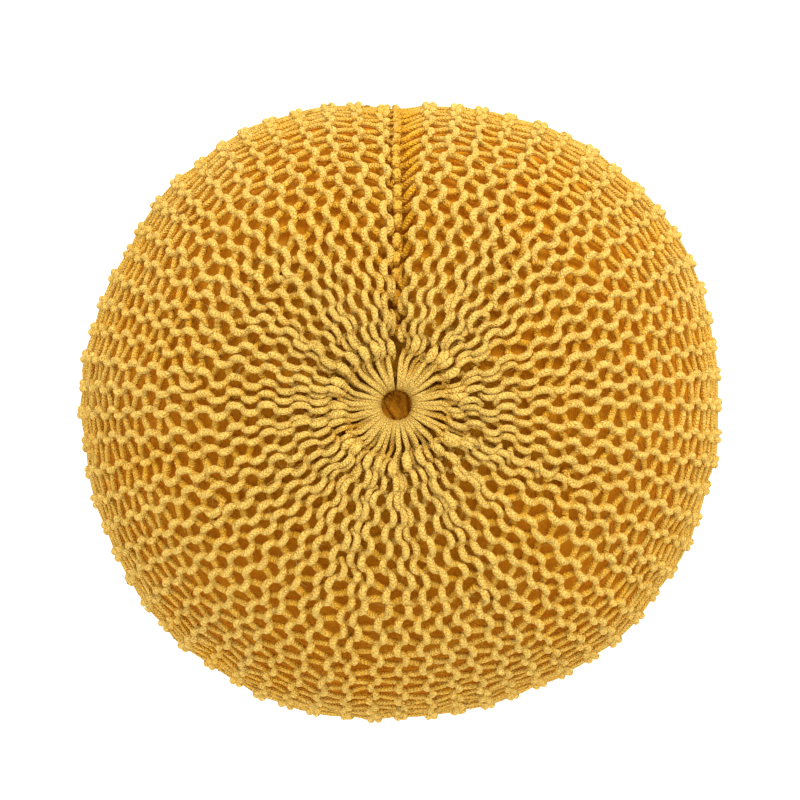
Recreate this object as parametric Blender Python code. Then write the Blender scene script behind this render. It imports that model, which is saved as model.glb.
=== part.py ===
"""A round knitted pouf: a cover of plain knitting, purl side out, gathered round a filled casing.

Metres, +Z up. The pouf stands on its flat underside, and its origin is under the middle of its
outline. Clock angles are read from above, in degrees: 0 is +Y, where the cover's seam runs, and 90
is +X. A section is a row of (radius, height) points, with the radius measured from the holes' axis.
"""

import math

import bmesh
import bpy
import numpy as np

# Driving sizes
HEIGHT = 0.350
WIDEST_AT = 0.165  # height of the widest line round the side
OUTLINE_STEP = 20  # degrees between the outline's rows
OUTLINE = (  # radius of the widest line from the holes' axis, clockwise from the seam
    0.234, 0.243, 0.252, 0.257, 0.253, 0.253, 0.253, 0.252, 0.246,
    0.246, 0.251, 0.252, 0.250, 0.247, 0.247, 0.244, 0.246, 0.243,
)
CROWN_POWER = 2.2  # 2 is an ellipse, more is squarer
SIDE_POWER = 2.1
FLAT_RADIUS = 0.128  # the underside is flat from here in to GATHER_REACH
GATHER_REACH = 0.058
GATHER_SINK = 0.011  # how far the cover sinks towards each hole
HOLE_RADIUS = 0.0117
CORD = 0.0066  # the knitting cord
COVER = 2.1 * CORD  # the knitting is two cords thick, with its ridges in front and legs behind
GAP = 0.0004  # between pieces that touch

# The seam lies in a trench, and its sewing cord lies in the bottom of it
SEAM_DEPTH = 0.0085
SEAM_HALF_WIDTH = 0.008
SEAM_CORD_LIFT = 0.0041  # the cord's middle above the bottom of the trench
SEAM_STARTS, SEAM_CORD_ENDS = 0.022, 0.045  # radii, short of each hole, where each fades or stops

# Soft hollows between the lumps of the filling
HOLLOWS = (  # clock angle, height, reach, depth
    (28, 0.300, 0.060, 0.0030),
    (80, 0.060, 0.045, 0.0045),
    (118, 0.270, 0.050, 0.0030),
    (163, 0.085, 0.050, 0.0050),
    (205, 0.290, 0.060, 0.0035),
    (255, 0.070, 0.045, 0.0045),
    (292, 0.255, 0.050, 0.0030),
    (335, 0.075, 0.045, 0.0040),
)

# How finely the solids are faceted
COLUMN_STEP = 6.0  # degrees
SEAM_COLUMNS = (0.0, 0.9, 1.8, 3.2)  # extra columns each side of the seam
CROWN_ROWS, SIDE_ROWS, FLAT_ROWS, GATHER_ROWS, LIP_ROWS = 10, 7, 1, 2, 2
RING_STEPS, CORD_SIDES = 24, 6

OUTLINE_MEAN = sum(OUTLINE) / len(OUTLINE)
LIP_RADIUS = HOLE_RADIUS + COVER / 2  # middle of the cover's rounded edge at each hole


def outline_radius(angle):
    """Radius of the widest line at a clock angle, on a smooth curve through OUTLINE."""
    place = angle / OUTLINE_STEP
    row = math.floor(place)
    a, b, c, d = (OUTLINE[(row + k) % len(OUTLINE)] for k in (-1, 0, 1, 2))
    t = place - row
    bend = 2 * b + (c - a) * t + (2 * a - 5 * b + 4 * c - d) * t**2
    return 0.5 * (bend + (3 * b - a - 3 * c + d) * t**3)


def smooth(value, start, end):
    """0 at start and 1 at end, with no corner at either."""
    t = min(max((value - start) / (end - start), 0.0), 1.0)
    return t * t * (3 - 2 * t)


def evenly(points, count):
    """A polyline read again at count equal steps, without its last point."""
    points = np.array(points)
    lengths = np.r_[0, np.cumsum(np.hypot(*np.diff(points, axis=0).T))]
    at = np.linspace(0, lengths[-1], count + 1)[:-1]
    return np.column_stack([np.interp(at, lengths, points[:, k]) for k in (0, 1)])


def crown_share(radius):
    """Height of the cover's upper face above the widest line, as a share of its greatest height:
    a squarish dome that sinks towards the hole."""
    dome = (1 - min(radius / OUTLINE_MEAN, 1) ** CROWN_POWER) ** (1 / CROWN_POWER)
    return dome - GATHER_SINK / (HEIGHT - WIDEST_AT) * math.exp(-2 * (radius / GATHER_REACH) ** 2)


def cover_face():
    """The cover's outer face at its mean outline, from the top hole to the bottom hole."""
    turn = np.radians(np.linspace(0, 90, 200))
    reach = LIP_RADIUS + (OUTLINE_MEAN - LIP_RADIUS) * np.sin(turn) ** (2 / CROWN_POWER)
    dome = np.array([crown_share(r) for r in reach])
    crown = np.column_stack([reach, WIDEST_AT + (HEIGHT - WIDEST_AT) * dome / dome.max()])
    power = 2 / SIDE_POWER
    side = np.column_stack([
        FLAT_RADIUS + (OUTLINE_MEAN - FLAT_RADIUS) * np.cos(turn) ** power,
        WIDEST_AT * (1 - np.sin(turn) ** power),
    ])
    flat = [(FLAT_RADIUS, 0), (GATHER_REACH, 0)]
    rise = [
        (r, GATHER_SINK * smooth(r, GATHER_REACH, LIP_RADIUS))
        for r in np.linspace(GATHER_REACH, LIP_RADIUS, 20)
    ]
    return np.concatenate([
        evenly(crown, CROWN_ROWS),
        evenly(side, SIDE_ROWS),
        evenly(flat, FLAT_ROWS),
        evenly(rise, GATHER_ROWS),
        rise[-1:],
    ])


def outward(section):
    """The direction that faces out of the pouf at each point of a section."""
    along = np.gradient(section, axis=0)
    across = np.column_stack([-along[:, 1], along[:, 0]])
    return across / np.hypot(*across.T)[:, None]


def inset(section, depth):
    return section - outward(section) * depth


def rounded_lip(section, end):
    """The rounded edge of the cover at one of its holes, from its outer to its inner face."""
    out = outward(section)[end]
    towards_hole = np.array([-abs(out[1]), out[0] * np.sign(out[1])])
    middle = section[end] - out * COVER / 2
    turns = np.linspace(0, math.pi, LIP_ROWS + 2)[1:-1]
    return [middle + COVER / 2 * (out * math.cos(t) + towards_hole * math.sin(t)) for t in turns]


def seam_distance(radius, angle):
    """Distance from the seam, round the pouf."""
    return radius * math.radians(abs((angle + 180) % 360 - 180))


def hollowed(radius, height, angle):
    """A point of a section moved in by the seam's trench and by the filling's hollows."""
    depth = SEAM_DEPTH * math.exp(-((seam_distance(radius, angle) / SEAM_HALF_WIDTH) ** 2))
    depth *= smooth(radius, SEAM_STARTS, SEAM_CORD_ENDS)
    free = smooth(height, 0.02, 0.07) * smooth(radius, GATHER_REACH, 2 * GATHER_REACH)
    for hollow_angle, hollow_height, reach, deepest in HOLLOWS:
        away = math.hypot(seam_distance(radius, angle - hollow_angle), height - hollow_height)
        depth += deepest * free * math.exp(-((away / reach) ** 2))
    rising = height - WIDEST_AT
    half_height = HEIGHT - WIDEST_AT if rising > 0 else WIDEST_AT
    out = np.array([(radius / OUTLINE_MEAN) ** 3, rising / half_height])
    out /= np.hypot(*out)
    return radius - depth * out[0], height - depth * out[1]


def at(point, angle):
    """A section's point placed at a clock angle, with the outline's unevenness."""
    radius, height = hollowed(*point, angle)
    radius += (outline_radius(angle) - OUTLINE_MEAN) * (point[0] / OUTLINE_MEAN) ** 1.5
    turn = math.radians(angle)
    return (radius * math.sin(turn), radius * math.cos(turn), height)


def columns():
    """Clock angles of the solids' columns: even, and closer beside the seam."""
    even = np.arange(COLUMN_STEP, 360 - COLUMN_STEP + 0.1, COLUMN_STEP)
    beside = [a for a in SEAM_COLUMNS] + [360 - a for a in SEAM_COLUMNS if a > 0]
    return sorted([*even, *beside])


def piece(name, material, build):
    """A named object whose mesh build fills, moved so that the outline's middle is at x = y = 0."""
    mesh = bpy.data.meshes.new(name)
    shape = bmesh.new()
    build(shape)
    bmesh.ops.translate(shape, verts=shape.verts, vec=CENTRE_SHIFT)
    bmesh.ops.recalc_face_normals(shape, faces=shape.faces)
    shape.to_mesh(mesh)
    shape.free()
    mesh.shade_smooth()
    mesh.materials.append(material)
    made = bpy.data.objects.new(name, mesh)
    bpy.context.scene.collection.objects.link(made)
    return made


def cloth(name, colour, roughness):
    material = bpy.data.materials.new(name)
    material.use_nodes = True
    shader = material.node_tree.nodes["Principled BSDF"]
    shader.inputs["Base Color"].default_value = (*colour, 1)
    shader.inputs["Roughness"].default_value = roughness
    shader.inputs["Metallic"].default_value = 0
    return material


def carried_round(shape, section, closed):
    """A section carried round the pouf. Its quads are split the same way all over, so that two
    faces side by side keep their distance, which needs both sections to run the same way."""
    rows = [[shape.verts.new(at(p, a)) for p in section] for a in columns()]
    last = len(section) if closed else len(section) - 1
    for near, far in zip(rows, rows[1:] + rows[:1]):
        for k in range(last):
            after = (k + 1) % len(section)
            shape.faces.new((near[k], near[after], far[after]))
            shape.faces.new((near[k], far[after], far[k]))
    return rows


def build_cover(shape):
    """A shell open at both holes, so its section is one closed loop."""
    face = cover_face()
    inner = inset(face, COVER)[::-1]
    loop = [*face, *rounded_lip(face, -1), *inner, *rounded_lip(face, 0)[::-1]]
    carried_round(shape, loop, closed=True)


def build_casing(shape):
    """The filled bag: the cover's inner face less a gap, sunk at each hole under the gather cord."""
    face = inset(cover_face(), COVER + GAP)[::-1]
    room = CORD + 4 * GAP
    for point in face:
        away = 1 - smooth(point[0], HOLE_RADIUS + COVER, GATHER_REACH)
        point[1] += room * away * (-1 if point[1] > WIDEST_AT else 1)
    rows = carried_round(shape, face, closed=False)
    for end in (0, -1):
        pole = shape.verts.new((0, 0, face[end][1]))
        for near, far in zip(rows, rows[1:] + rows[:1]):
            shape.faces.new((pole, near[end], far[end]))


def tube(shape, path, closed):
    """A round cord along a path of (point, sideways, up) rows."""
    turns = np.linspace(0, 2 * math.pi, CORD_SIDES + 1)[:-1]
    rings = []
    for point, sideways, up in np.array(path):
        round_cord = [sideways * math.cos(t) + up * math.sin(t) for t in turns]
        rings.append([shape.verts.new(point + CORD / 2 * r) for r in round_cord])
    for near, far in zip(rings, rings[1:] + rings[:1] if closed else rings[1:]):
        for k in range(CORD_SIDES):
            after = (k + 1) % CORD_SIDES
            shape.faces.new((near[k], near[after], far[after], far[k]))
    if not closed:
        shape.faces.new(rings[0])
        shape.faces.new(rings[-1])


def build_gather_cord(end):
    """A ring of cord under the cover's lip: end 0 is the top hole, and -1 the bottom one."""
    face = cover_face()
    out = outward(face)[end]
    radius, height = face[end] - out * (COVER + 2 * GAP + CORD / 2)

    def build(shape):
        path = []
        for turn in np.linspace(0, 2 * math.pi, RING_STEPS + 1)[:-1]:
            away = np.array([math.sin(turn), math.cos(turn), 0])
            path.append((away * radius + np.array([0, 0, height]), away, (0, 0, 1)))
        tube(shape, path, closed=True)

    return build


def build_seam_cord(shape):
    """The sewing cord, along the bottom of the seam's trench."""
    face = cover_face()
    face = face[face[:, 0] > SEAM_CORD_ENDS]
    middle = np.array([at(p, 0) for p in face])[:, 1:]
    out = outward(middle)
    path = [
        ((0, y + oy * SEAM_CORD_LIFT, z + oz * SEAM_CORD_LIFT), (1, 0, 0), (0, oy, oz))
        for (y, z), (oy, oz) in zip(middle, out)
    ]
    tube(shape, path, closed=False)


def outline_middle():
    """The middle of the outline's box, measured from the holes' axis."""
    widest = cover_face()[CROWN_ROWS]
    rim = np.array([at(widest, a) for a in columns()])
    return (rim.min(axis=0) + rim.max(axis=0)) / 2


for old in list(bpy.data.objects):
    bpy.data.objects.remove(old)

CENTRE_SHIFT = (-outline_middle()[0], -outline_middle()[1], 0)
knitting_cord = cloth("knitting_cord", (0.86, 0.58, 0.10), 0.9)
casing_cloth = cloth("casing_cloth", (0.72, 0.42, 0.05), 0.85)
sewing_cord = cloth("sewing_cord", (0.78, 0.50, 0.09), 0.9)
piece("knitted_cover", knitting_cord, build_cover)
piece("inner_casing", casing_cloth, build_casing)
piece("gather_cord_top", sewing_cord, build_gather_cord(0))
piece("gather_cord_bottom", sewing_cord, build_gather_cord(-1))
piece("seam_cord", sewing_cord, build_seam_cord)
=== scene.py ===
"""The looks of a round knitted pouf: one thick, soft cotton cord knitted back and forth into a plain
cover with its purl side out, gathered round a hole at the top and at the bottom over a filled casing.

Metres, +Z up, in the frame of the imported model. Clock angles are read from above, in degrees, from the
seam at +Y towards +X. The cover is knitted sideways: a course runs from the top edge over the side to
the bottom edge, and courses follow each other round the pouf from the seam, clockwise. The feet of a
course and the heads of the course before it lie in front and make a ridge between the two. A place on
the cover is (along, angle, depth): along is the length from the top lip down the outer face, and depth
is measured under that face. Lengths on the cover and in its stitches are counted in cords, that is in
thicknesses of the knitting cord. Row numbers count stitches from the top edge to the bottom edge.
"""

import math

import bpy
import numpy as np
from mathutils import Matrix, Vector, kdtree

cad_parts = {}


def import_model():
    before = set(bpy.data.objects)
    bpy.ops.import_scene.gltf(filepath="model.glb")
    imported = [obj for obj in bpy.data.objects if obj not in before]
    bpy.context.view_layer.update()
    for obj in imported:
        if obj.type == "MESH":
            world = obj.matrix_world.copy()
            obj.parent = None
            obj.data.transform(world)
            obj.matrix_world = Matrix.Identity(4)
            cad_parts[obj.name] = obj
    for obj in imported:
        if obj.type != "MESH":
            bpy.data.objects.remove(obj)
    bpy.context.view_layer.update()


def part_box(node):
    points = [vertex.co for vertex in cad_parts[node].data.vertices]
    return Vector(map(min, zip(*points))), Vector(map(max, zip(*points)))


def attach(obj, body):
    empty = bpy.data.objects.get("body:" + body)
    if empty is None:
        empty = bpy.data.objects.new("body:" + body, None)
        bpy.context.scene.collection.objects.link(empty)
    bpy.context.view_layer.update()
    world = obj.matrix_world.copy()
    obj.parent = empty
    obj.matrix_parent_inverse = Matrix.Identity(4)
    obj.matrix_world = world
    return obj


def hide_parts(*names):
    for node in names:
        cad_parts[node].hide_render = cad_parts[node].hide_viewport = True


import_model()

# ---- The solids' own sizes, which the looks follow ----

HEIGHT = 0.350
WIDEST_AT = 0.165  # height of the widest line round the side
OUTLINE_STEP = 20  # degrees between the outline's rows
OUTLINE = np.array([  # radius of the widest line from the holes' axis, clockwise from the seam
    0.234, 0.243, 0.252, 0.257, 0.253, 0.253, 0.253, 0.252, 0.246,
    0.246, 0.251, 0.252, 0.250, 0.247, 0.247, 0.244, 0.246, 0.243,
])
OUTLINE_MEAN = OUTLINE.mean()
CROWN_POWER, SIDE_POWER = 2.2, 2.1
FLAT_RADIUS = 0.128  # the underside is flat from here in to GATHER_REACH
GATHER_REACH, GATHER_SINK = 0.058, 0.011
HOLE_RADIUS = 0.0117
CORD = 0.0066
COVER = 2.1 * CORD
LIP_RADIUS = HOLE_RADIUS + COVER / 2
SEAM_DEPTH, SEAM_HALF_WIDTH = 0.0055, 0.008  # the stitches round the trench's edges and part fill it
SEAM_STARTS, SEAM_CORD_ENDS = 0.022, 0.045
SEAM_FADES = (0.13, 0.23)  # radii between which the trench grows shallow towards the side
HOLLOWS_START = (0.02, 0.07)  # heights between which the hollows fade in, over the flat underside
HOLLOWS = (  # clock angle, height, reach, depth
    (28, 0.300, 0.060, 0.0030),
    (80, 0.060, 0.045, 0.0045),
    (118, 0.270, 0.050, 0.0030),
    (163, 0.085, 0.050, 0.0050),
    (205, 0.290, 0.060, 0.0035),
    (255, 0.070, 0.045, 0.0045),
    (292, 0.255, 0.050, 0.0030),
    (335, 0.075, 0.045, 0.0040),
)

# ---- The knitting ----

STITCHES = np.array([
    # spacing of ridges, pitch of stitches, swing of a ridge, drop of a hook and of a leg below the front,
    # half thickness of the cord in front and in a stretched leg
    (0.60, 3.75, 0.45, 0.74, 0.84, 0.28, 0.25),
    (0.90, 3.80, 0.60, 0.78, 0.88, 0.31, 0.28),
    (1.20, 3.82, 0.72, 0.82, 0.90, 0.35, 0.35),
    (1.60, 3.85, 0.80, 0.82, 0.86, 0.39, 0.41),
    (2.00, 3.82, 0.86, 0.78, 0.80, 0.41, 0.43),
    (2.40, 3.75, 0.86, 0.68, 0.68, 0.41, 0.42),
    (2.80, 3.50, 0.84, 0.50, 0.49, 0.41, 0.38),
    (3.50, 3.10, 0.80, 0.34, 0.35, 0.41, 0.32),
])
FRONT = 0.50  # half thickness of the cord at rest
HOOK = 0.30  # how far a foot runs on under the head of the course before it
FOOT_ARC = np.array([0, 0.35, 0.62, 0.84, 1])  # places on a foot's arc, from its middle to its end
FOOT_SINK = np.array([0, -0.02, -0.09, -0.20, -0.34])  # how the cord goes down there
FOOT_THICK = np.array([1.10, 1.08, 1.0, 0.92, 0.86])  # and its share of the thickness in front
SQUARENESS = 0.42  # under 1, a ridge swings in flat arcs with steep ways between them
COURSES = 69
ROWS = 28
FIRST_ROW_AT = 1.9  # along, of the first foot behind the lip
SHORT_COURSES = (  # clock angle of each course that starts below the top and ends above the bottom; rows
    (35, 5, 23), (77, 4, 22), (112, 5, 22), (152, 5, 21),
    (194, 4, 22), (233, 5, 22), (271, 5, 21), (320, 4, 22),
)
WIDENING = 1.6  # stitches over which a new course takes its full width
FLOAT_DEPTH, FLOAT_THICK = 1.85, 0.30  # where a short course's cord runs on behind to the edge
SEAM_GAP = 1.1  # between the two edges that the seam joins
LAST_WIDTH = 0.35  # the last course is mostly turned under, so it shows this much of its width
HALF_STEPS = 12  # cord segments in half a stitch
FINE_STEPS = 12  # steps between two way points of a stitch, before it is cut into segments
CORD_SIDES = 9
PIECES = 6

rng = np.random.default_rng(11)


# ---- The outer face ----

def smooth(value, start, end):
    """0 at start and 1 at end, with no corner at either."""
    t = np.clip((value - start) / (end - start), 0.0, 1.0)
    return t * t * (3 - 2 * t)


def on_curve(a, b, c, d, t):
    """At shares t of the way from b to c, on a smooth curve through a, b, c and d."""
    return 0.5 * (2 * b + (c - a) * t + (2 * a - 5 * b + 4 * c - d) * t**2 + (3 * b - a - 3 * c + d) * t**3)


def unit(vectors):
    """Vectors made one long."""
    return vectors / np.linalg.norm(vectors, axis=-1, keepdims=True)


def outline_radius(angle):
    """Radius of the widest line at clock angles, on a smooth curve through OUTLINE."""
    place = np.asarray(angle, float) / OUTLINE_STEP
    row = np.floor(place).astype(int)
    around = (OUTLINE[(row + k) % len(OUTLINE)] for k in (-1, 0, 1, 2))
    return on_curve(*around, place - row)


def cover_face():
    """(radius, height) of the outer face at its mean outline, from the top lip to the bottom lip."""
    turn = np.radians(np.linspace(0, 90, 500))
    reach = LIP_RADIUS + (OUTLINE_MEAN - LIP_RADIUS) * np.sin(turn) ** (2 / CROWN_POWER)
    dome = (1 - np.minimum(reach / OUTLINE_MEAN, 1) ** CROWN_POWER) ** (1 / CROWN_POWER)
    dome -= GATHER_SINK / (HEIGHT - WIDEST_AT) * np.exp(-2 * (reach / GATHER_REACH) ** 2)
    crown = np.column_stack([reach, WIDEST_AT + (HEIGHT - WIDEST_AT) * dome / dome.max()])
    side = np.column_stack([
        FLAT_RADIUS + (OUTLINE_MEAN - FLAT_RADIUS) * np.cos(turn) ** (2 / SIDE_POWER),
        WIDEST_AT * (1 - np.sin(turn) ** (2 / SIDE_POWER)),
    ])
    flat = np.column_stack([np.linspace(FLAT_RADIUS, GATHER_REACH, 60), np.zeros(60)])
    inwards = np.linspace(GATHER_REACH, LIP_RADIUS, 60)
    rise = np.column_stack([inwards, GATHER_SINK * smooth(inwards, GATHER_REACH, LIP_RADIUS)])
    return np.concatenate([crown, side[1:], flat[1:], rise[1:]])


FACE = cover_face()
ALONG = np.r_[0, np.cumsum(np.hypot(*np.diff(FACE, axis=0).T))] / CORD
FACE_LENGTH = ALONG[-1]
slope = np.gradient(FACE, ALONG, axis=0)
OUTWARD = np.column_stack([-slope[:, 1], slope[:, 0]]) / np.hypot(*slope.T)[:, None]
RIM_ROW = FACE[:, 0].argmax()


def in_section(along, depth):
    """(radius, height) at a place of the section's plane, before the pouf's unevenness."""
    return [
        np.interp(along, ALONG, face) - depth * CORD * np.interp(along, ALONG, outward)
        for face, outward in zip(FACE.T, OUTWARD.T)
    ]


def seam_distance(radius, angle):
    """Metres from the seam's line, round the pouf."""
    return radius * np.radians(np.abs((angle + 180) % 360 - 180))


def hollowed(radius, height, angle):
    """Points moved in by the seam's trench and by the hollows between the lumps of the filling."""
    depth = SEAM_DEPTH * np.exp(-((seam_distance(radius, angle) / SEAM_HALF_WIDTH) ** 2))
    depth = depth * smooth(radius, SEAM_STARTS, SEAM_CORD_ENDS) * (1 - smooth(radius, *SEAM_FADES))
    free = smooth(height, *HOLLOWS_START) * smooth(radius, GATHER_REACH, 2 * GATHER_REACH)
    for hollow_angle, hollow_height, reach, deepest in HOLLOWS:
        away = np.hypot(seam_distance(radius, angle - hollow_angle), height - hollow_height)
        depth = depth + deepest * free * np.exp(-((away / reach) ** 2))
    rising = height - WIDEST_AT
    out_radius = (radius / OUTLINE_MEAN) ** 3
    out_height = rising / np.where(rising > 0, HEIGHT - WIDEST_AT, WIDEST_AT)
    size = np.hypot(out_radius, out_height)
    return radius - depth * out_radius / size, height - depth * out_height / size


lowest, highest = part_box("gather_cord_top")
AXIS = (lowest + highest) / 2  # the holes' axis stands a little off the middle of the outline
CORE = np.array((AXIS.x, AXIS.y, WIDEST_AT))


def carried(radius, height, angle):
    """Points of the section's plane placed at clock angles, with the pouf's unevenness."""
    radius, height, angle = np.broadcast_arrays(radius, height, angle)
    near, level = hollowed(radius, height, angle)
    near = near + (outline_radius(angle) - OUTLINE_MEAN) * (radius / OUTLINE_MEAN) ** 1.5
    turn = np.radians(angle)
    return np.stack([near * np.sin(turn) + AXIS.x, near * np.cos(turn) + AXIS.y, level], axis=-1)


# ---- One stitch ----

def half_stitch(spacing, pitch, swing, hook_drop, leg_drop, front, leg):
    """Way points of half a stitch, from the middle of its foot to the middle of its head: along, across
    from the ridge of its foot, height over the cord in front, half thickness. The foot hooks the head of
    the course before it, so both are thin where they pass each other."""
    quarter = pitch / 4
    wave = -swing / 2 * np.cos(math.pi / 2 * FOOT_ARC) ** SQUARENESS
    foot = np.vstack([
        np.column_stack([FOOT_ARC * quarter, wave, FOOT_SINK, front * FOOT_THICK]),
        (quarter + 0.5 * HOOK, 0.30 * swing, -0.45, FOOT_THICK[-1] * front),
        (quarter + HOOK, 0.45 * swing, -0.75 * hook_drop, leg + 0.02),
        (quarter + 0.8 * HOOK, 0.50 * swing + 0.15, -hook_drop, leg),
    ])
    head = foot[::-1] * [-1, -1, 1, 1] + [pitch / 2, spacing, 0, 0]
    return np.vstack([foot, [(quarter, spacing / 2, -leg_drop, leg)], head])


def smooth_curve(points, steps):
    """A smooth curve through points, in this many steps from each to the next."""
    padded = np.vstack([2 * points[0] - points[1], points, 2 * points[-1] - points[-2]])
    t = np.linspace(0, 1, steps, endpoint=False)[:, None, None]
    curve = on_curve(padded[:-3], padded[1:-2], padded[2:-1], padded[3:], t)
    return np.vstack([curve.transpose(1, 0, 2).reshape(-1, points.shape[1]), points[-1:]])


def whole_stitch(spacing, pitch, *shape):
    """A stitch from foot to foot, with points nearer each other where it bends: share of the pitch,
    across, height, half thickness."""
    half = half_stitch(spacing, pitch, *shape)
    mirror = [-1, 1, 1, 1]
    around = np.vstack([half[1:2] * mirror, half, half[-2:-1] * mirror + [pitch, 0, 0, 0]])
    curve = smooth_curve(around, FINE_STEPS)[FINE_STEPS:-FINE_STEPS]
    link = np.linalg.norm(np.diff(curve[:, :3], axis=0), axis=1)
    bend = np.linalg.norm(curve[:-2, :3] + curve[2:, :3] - 2 * curve[1:-1, :3], axis=1)
    weight = link * (1 + 0.5 * np.r_[bend[0], bend] / bend.mean())
    grown = np.r_[0, np.cumsum(weight)] / weight.sum()
    half = np.column_stack([np.interp(np.linspace(0, 1, HALF_STEPS + 1), grown, row) for row in curve.T])
    other = (half * mirror + [pitch, 0, 0, 0])[::-1]
    return np.vstack([half, other[1:]]) / [pitch, 1, 1, 1]


STITCH_SHAPES = np.array([whole_stitch(*row) for row in STITCHES])


# ---- Where each course lies ----

def short_width(row, start, end):
    """How much of its width a short course has at rows."""
    opened = smooth(row, start - 0.6 * WIDENING, start + 0.4 * WIDENING)
    return opened * (1 - smooth(row, end - 0.4 * WIDENING, end + 0.6 * WIDENING))


SHORT = {round(angle / 360 * COURSES): (start, end) for angle, start, end in SHORT_COURSES}


def ridge_line(number, row):
    """How many whole courses lie between the seam and a ridge, and in the whole round, at rows."""
    line, total = min(number, COURSES - 1 + LAST_WIDTH), COURSES - 1 + LAST_WIDTH
    for course, rows in SHORT.items():
        missing = 1 - short_width(row, *rows)
        line = line - missing * (course < number)
        total = total - missing
    return line, total


def seam_gap(radius):
    """Width of the gap between the joined edges, narrower at the holes."""
    return SEAM_GAP * (0.80 + 0.20 * smooth(radius, 0.06, 0.13))


def spacing_of(radius, total):
    """From one ridge to the next, with this many courses in the round."""
    return (2 * math.pi * radius / CORD - seam_gap(radius)) / total


def angle_of(line, radius, spacing):
    """Clock angle of a ridge line."""
    return (line * spacing + seam_gap(radius) / 2) / (2 * math.pi * radius / CORD) * 360


def row_places(samples=400, rounds=4):
    """Rows of stitches and their place along the face: a stitch is shorter where its ridges spread."""
    along = np.linspace(FIRST_ROW_AT, FACE_LENGTH - FIRST_ROW_AT, samples)
    row = np.linspace(0, ROWS, samples)
    radius = in_section(along, 0)[0]
    for _ in range(rounds):
        spacing = spacing_of(radius, ridge_line(0, row)[1])
        density = 1 / np.interp(spacing, STITCHES[:, 0], STITCHES[:, 1])
        row = np.r_[0, np.cumsum((density[1:] + density[:-1]) / 2)]
        row *= ROWS / row[-1]
    return row, along


ROW, ROW_ALONG = row_places()


def uneven(size, smoothing, shared=0):
    """A value for each ridge at each row that drifts from row to row, and from ridge to ridge if shared."""
    values = rng.normal(0, 1, (COURSES + 1 + 2 * shared, ROWS + 2 + 2 * smoothing))
    for _ in range(smoothing):
        values = (values[:, :-2] + 2 * values[:, 1:-1] + values[:, 2:]) / 4
    for _ in range(shared):
        values = (values[:-2] + 2 * values[1:-1] + values[2:]) / 4
    return size * values / values.std()


EVERY_ROW = np.arange(ROWS + 2)
GATHERED_ROWS = 3  # rows at the top hole whose stitches lie one over another
DRIFT = uneven(0.17, 4)  # of a ridge to one side
STAGGER = uneven(0.11, 2) + uneven(0.28, 2, shared=6)  # of its stitches along it
LIFT = uneven(0.10, 2)  # of a ridge out of the face
SIZE = 1 + uneven(0.14, 1)  # of its swing
LIFT[:, :GATHERED_ROWS] *= 2.2
DRIFT[:, :GATHERED_ROWS] *= 1.5

# The first and the last ridge run beside the seam: straighter, with a slit between them near the hole,
# and the first one goes down into the seam. The cloth is pulled towards the hole on both sides.
SLIT = np.interp(EVERY_ROW, (0, 4, 7), (1, 1, 0))
DRIFT[[0, -1]] *= 0.4
DRIFT[0, GATHERED_ROWS:] -= 0.30
DRIFT[0] += 0.16 * SLIT
DRIFT[-1] -= 0.14 * SLIT
SIZE[[0, -1], :6] *= 0.35
LIFT[0] -= 1.3 * np.interp(EVERY_ROW, (0, 2, 7, 11), (0.2, 0.5, 1, 0.35))
LIFT[-1] -= 0.3
STAGGER[0] -= 0.9
STAGGER[-3:] -= np.array([0.15, 0.30, 0.50])[:, None]
SUNK = np.resize([0, 1.0, 0.35, 0.9, 0, 1.0, 0.6], COURSES + 1)  # how far each ridge dives in the gather
SUNK = np.clip(SUNK + rng.normal(0, 0.16, COURSES + 1), 0, 1.1)
SUNK_DEPTH = 0.75
QUARTERS = np.arange(4 * ROWS + 1)  # of the stitches of a course
WOBBLE = rng.normal(0, 1, (3, COURSES, len(QUARTERS)))  # of the cord along, in depth and in thickness
WOBBLE *= np.where(QUARTERS % 2, 1.0, 0.45)  # more at a leg's middle than on a ridge
WOBBLE_SIZES = (0.13, 0.08, 0.06)


def wobble(kind, course, step):
    """The cord's unevenness at its steps."""
    return WOBBLE_SIZES[kind] * np.interp(step, QUARTERS * HALF_STEPS / 2, WOBBLE[kind, course])


def at_row(values, number, row):
    """A ridge's uneven value, read between rows."""
    low = np.clip(row.astype(int), 0, ROWS)
    t = row - low
    return values[number, low] * (1 - t) + values[number, low + 1] * t


def gathered(spacing):
    """1 where the ridges are crowded at the holes, and 0 where each has room."""
    return 1 - smooth(spacing, 0.55, 1.15)


BULB = 0.70  # how much thicker the cord is in the front of the first and the last row
LAST_THINNER = 0.35  # how much thinner it is in the heads of the last course, where the seam pulls


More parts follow.
